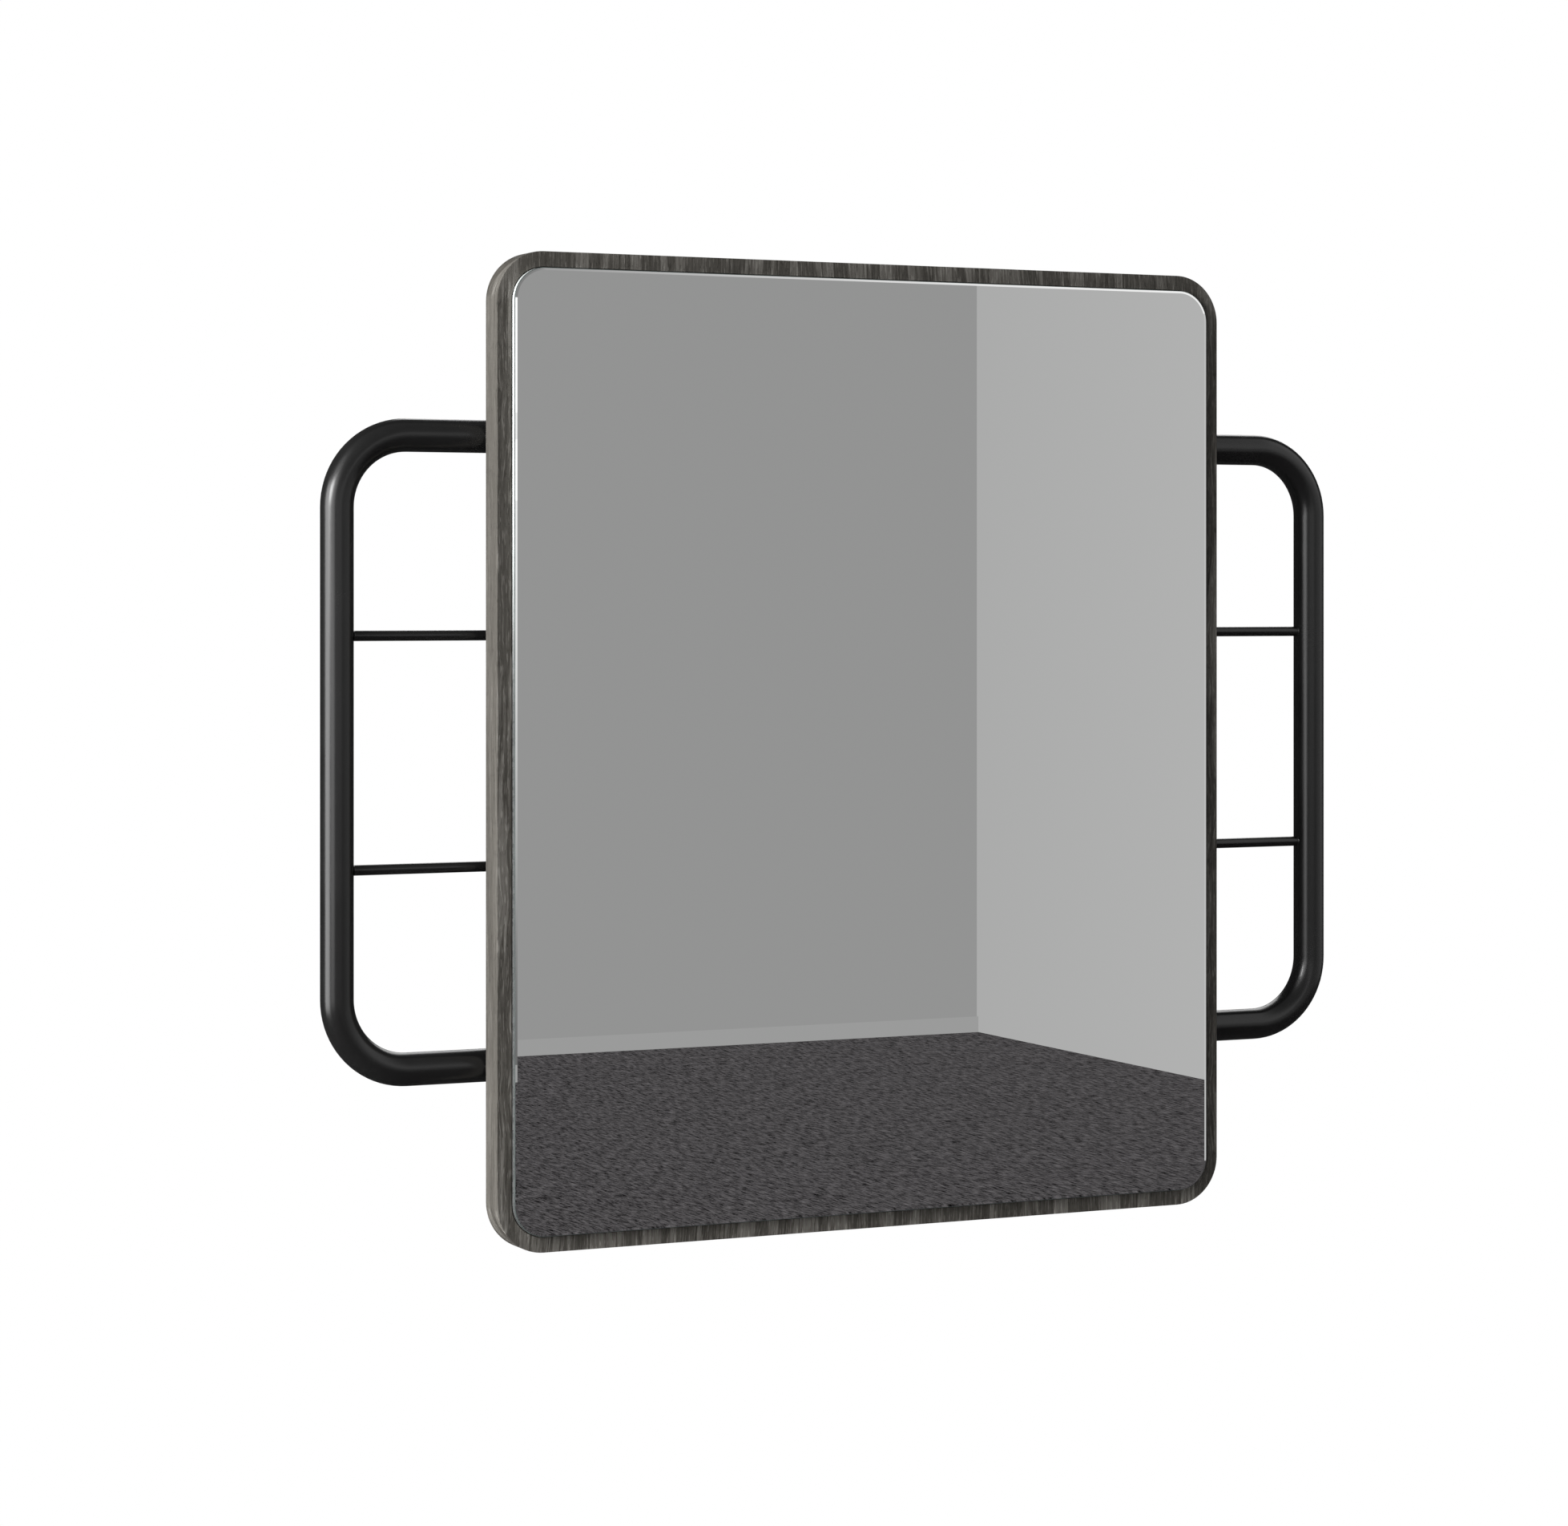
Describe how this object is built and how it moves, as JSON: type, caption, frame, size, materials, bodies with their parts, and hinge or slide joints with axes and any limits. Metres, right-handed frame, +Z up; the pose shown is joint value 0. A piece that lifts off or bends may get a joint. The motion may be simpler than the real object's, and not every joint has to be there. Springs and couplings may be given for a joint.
{
  "type": "medicine cabinet",
  "caption": "Wall-hung bathroom cabinet: bevelled mirror on a side-hinged dark wood door, glass shelves inside, and a tubular towel rail on each side.",
  "frame": {"origin": "middle of the cabinet's back, on the wall plane", "axes": "+X to the right seen from the room, +Y into the wall, +Z up; the mirror faces -Y"},
  "size_m": [0.8886, 0.1224, 0.762],
  "materials": {
    "dark_oak": "open-grain oak veneer stained dark grey-brown, matt lacquer",
    "silvered_glass": "polished, bevelled edge",
    "black_steel": "satin black powder coat",
    "clear_glass": "clear, ground edges",
    "plain_steel": "bright zinc plate",
    "black_plastic": "moulded, matt",
    "ferrite": "sintered, dull",
    "foam_tape": "closed-cell foam",
    "grey_rubber": "soft, slightly clear"
  },
  "bodies": {
    "cabinet": {"back_panel": "black_steel", "bottom_panel": "black_steel", "catch_housing": "black_plastic", "catch_magnet": "ferrite", "catch_pole_left": "plain_steel", "catch_pole_right": "plain_steel", "face_frame": "black_steel", "fixing_rail": "black_steel", "hanging_rail": "black_steel", "hinge_leaf_box_lower": "plain_steel", "hinge_leaf_box_middle": "plain_steel", "hinge_leaf_box_upper": "plain_steel", "hinge_pin_lower": "plain_steel", "hinge_pin_middle": "plain_steel", "hinge_pin_upper": "plain_steel", "rail_rod_left_lower": "black_steel", "rail_rod_left_upper": "black_steel", "rail_rod_right_lower": "black_steel", "rail_rod_right_upper": "black_steel", "rail_tube_left": "black_steel", "rail_tube_right": "black_steel", "shelf_1": "clear_glass", "shelf_2": "clear_glass", "shelf_3": "clear_glass", "shelf_pin_1_left_back": "plain_steel", "shelf_pin_1_left_front": "plain_steel", "shelf_pin_1_right_back": "plain_steel", "shelf_pin_1_right_front": "plain_steel", "shelf_pin_2_left_back": "plain_steel", "shelf_pin_2_left_front": "plain_steel", "shelf_pin_2_right_back": "plain_steel", "shelf_pin_2_right_front": "plain_steel", "shelf_pin_3_left_back": "plain_steel", "shelf_pin_3_left_front": "plain_steel", "shelf_pin_3_right_back": "plain_steel", "shelf_pin_3_right_front": "plain_steel", "side_panel_left": "black_steel", "side_panel_right": "black_steel", "top_panel": "black_steel"},
    "door": {"bumper_lower": "grey_rubber", "bumper_upper": "grey_rubber", "door_panel": "dark_oak", "hinge_leaf_door_lower": "plain_steel", "hinge_leaf_door_middle": "plain_steel", "hinge_leaf_door_upper": "plain_steel", "hinge_screw_lower_1": "plain_steel", "hinge_screw_lower_2": "plain_steel", "hinge_screw_middle_1": "plain_steel", "hinge_screw_middle_2": "plain_steel", "hinge_screw_upper_1": "plain_steel", "hinge_screw_upper_2": "plain_steel", "mirror_glass": "silvered_glass", "mirror_tape_left": "foam_tape", "mirror_tape_right": "foam_tape", "strike_plate": "plain_steel", "strike_screw_1": "plain_steel", "strike_screw_2": "plain_steel"}
  },
  "joints": [
    {"name": "door_swing", "type": "hinge", "parent": "cabinet", "child": "door", "pos_m": [0.321, -0.0928, 0], "axis": [0, 0, 1], "range_deg": [0, 100]}
  ]
}
